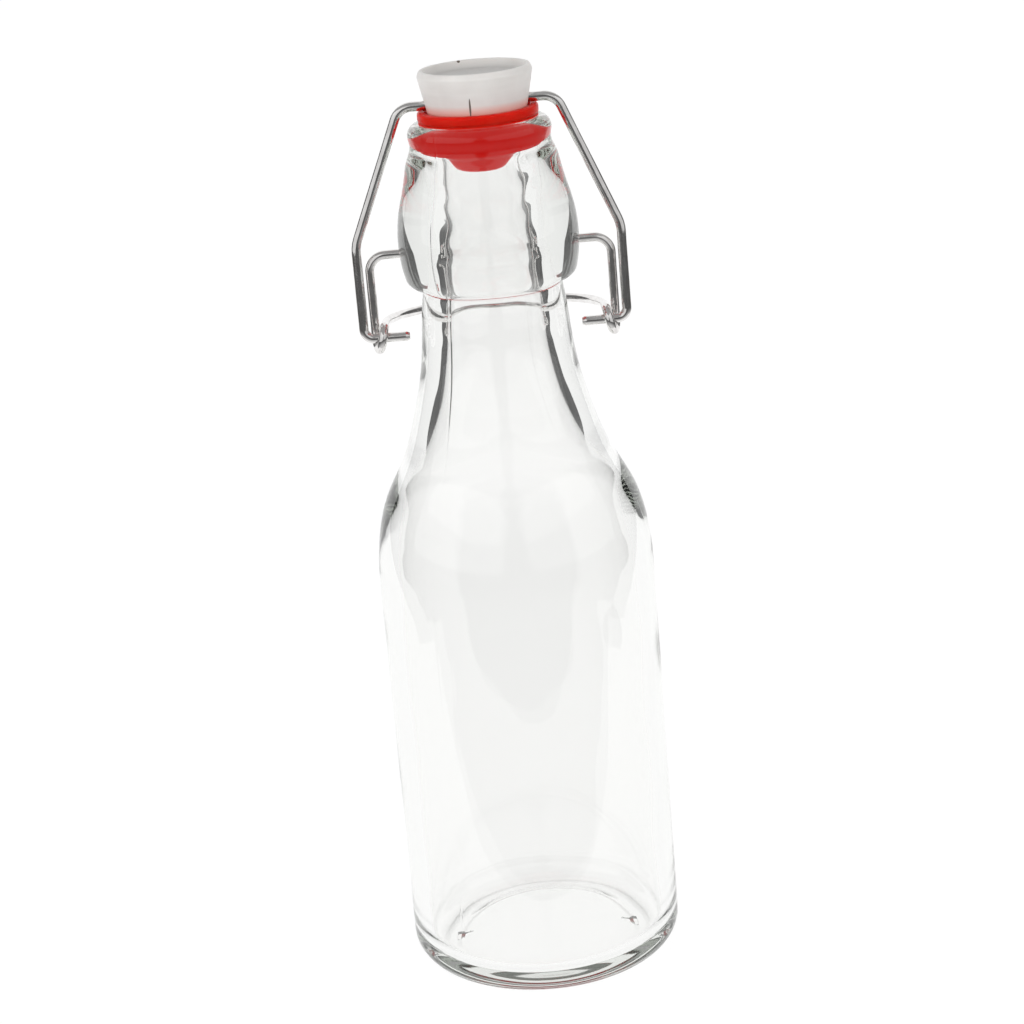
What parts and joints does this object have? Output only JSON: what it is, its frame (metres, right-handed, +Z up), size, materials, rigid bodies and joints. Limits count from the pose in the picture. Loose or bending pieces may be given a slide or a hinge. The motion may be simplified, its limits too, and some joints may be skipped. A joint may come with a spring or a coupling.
{
  "type": "swing top bottle",
  "caption": "Clear glass bottle with a round plastic stopper and rubber gasket, clamped shut by a bent wire bail and an over-centre wire lever.",
  "frame": {"origin": "centre of the bottle's base, on the surface it stands on", "axes": "+Z up the bottle's axis; +X along the pivots of the wires; +Y to the side where the shut lever's handle lies"},
  "size_m": [0.062, 0.062, 0.2051],
  "materials": {
    "clear_glass": "polished",
    "stopper_plastic": "satin",
    "gasket_rubber": "satin",
    "bail_steel": "polished",
    "lever_steel": "polished"
  },
  "bodies": {
    "bottle": {"glass_bottle": "clear_glass"},
    "lever": {"lever_wire": "lever_steel"},
    "bail": {"bail_wire": "bail_steel"},
    "closure": {"stopper": "stopper_plastic", "gasket": "gasket_rubber"}
  },
  "joints": [
    {"name": "lever_swing", "type": "hinge", "parent": "bottle", "child": "lever", "pos_m": [0, 0, 0.1663], "axis": [1, 0, 0], "range_deg": [0, 150]},
    {"name": "bail_swing", "type": "hinge", "parent": "lever", "child": "bail", "pos_m": [0, -0.0025, 0.1485], "axis": [1, 0, 0], "range_deg": [-99.38, 0]},
    {"name": "stopper_tilt", "type": "hinge", "parent": "bail", "child": "closure", "pos_m": [0, 0, 0.1977], "axis": [1, 0, 0], "range_deg": [-50.62, 0]}
  ],
  "couplings": [
    {"joint": "bail_swing", "follows": "lever_swing", "ratio": -0.6625},
    {"joint": "stopper_tilt", "follows": "lever_swing", "ratio": -0.3375}
  ]
}
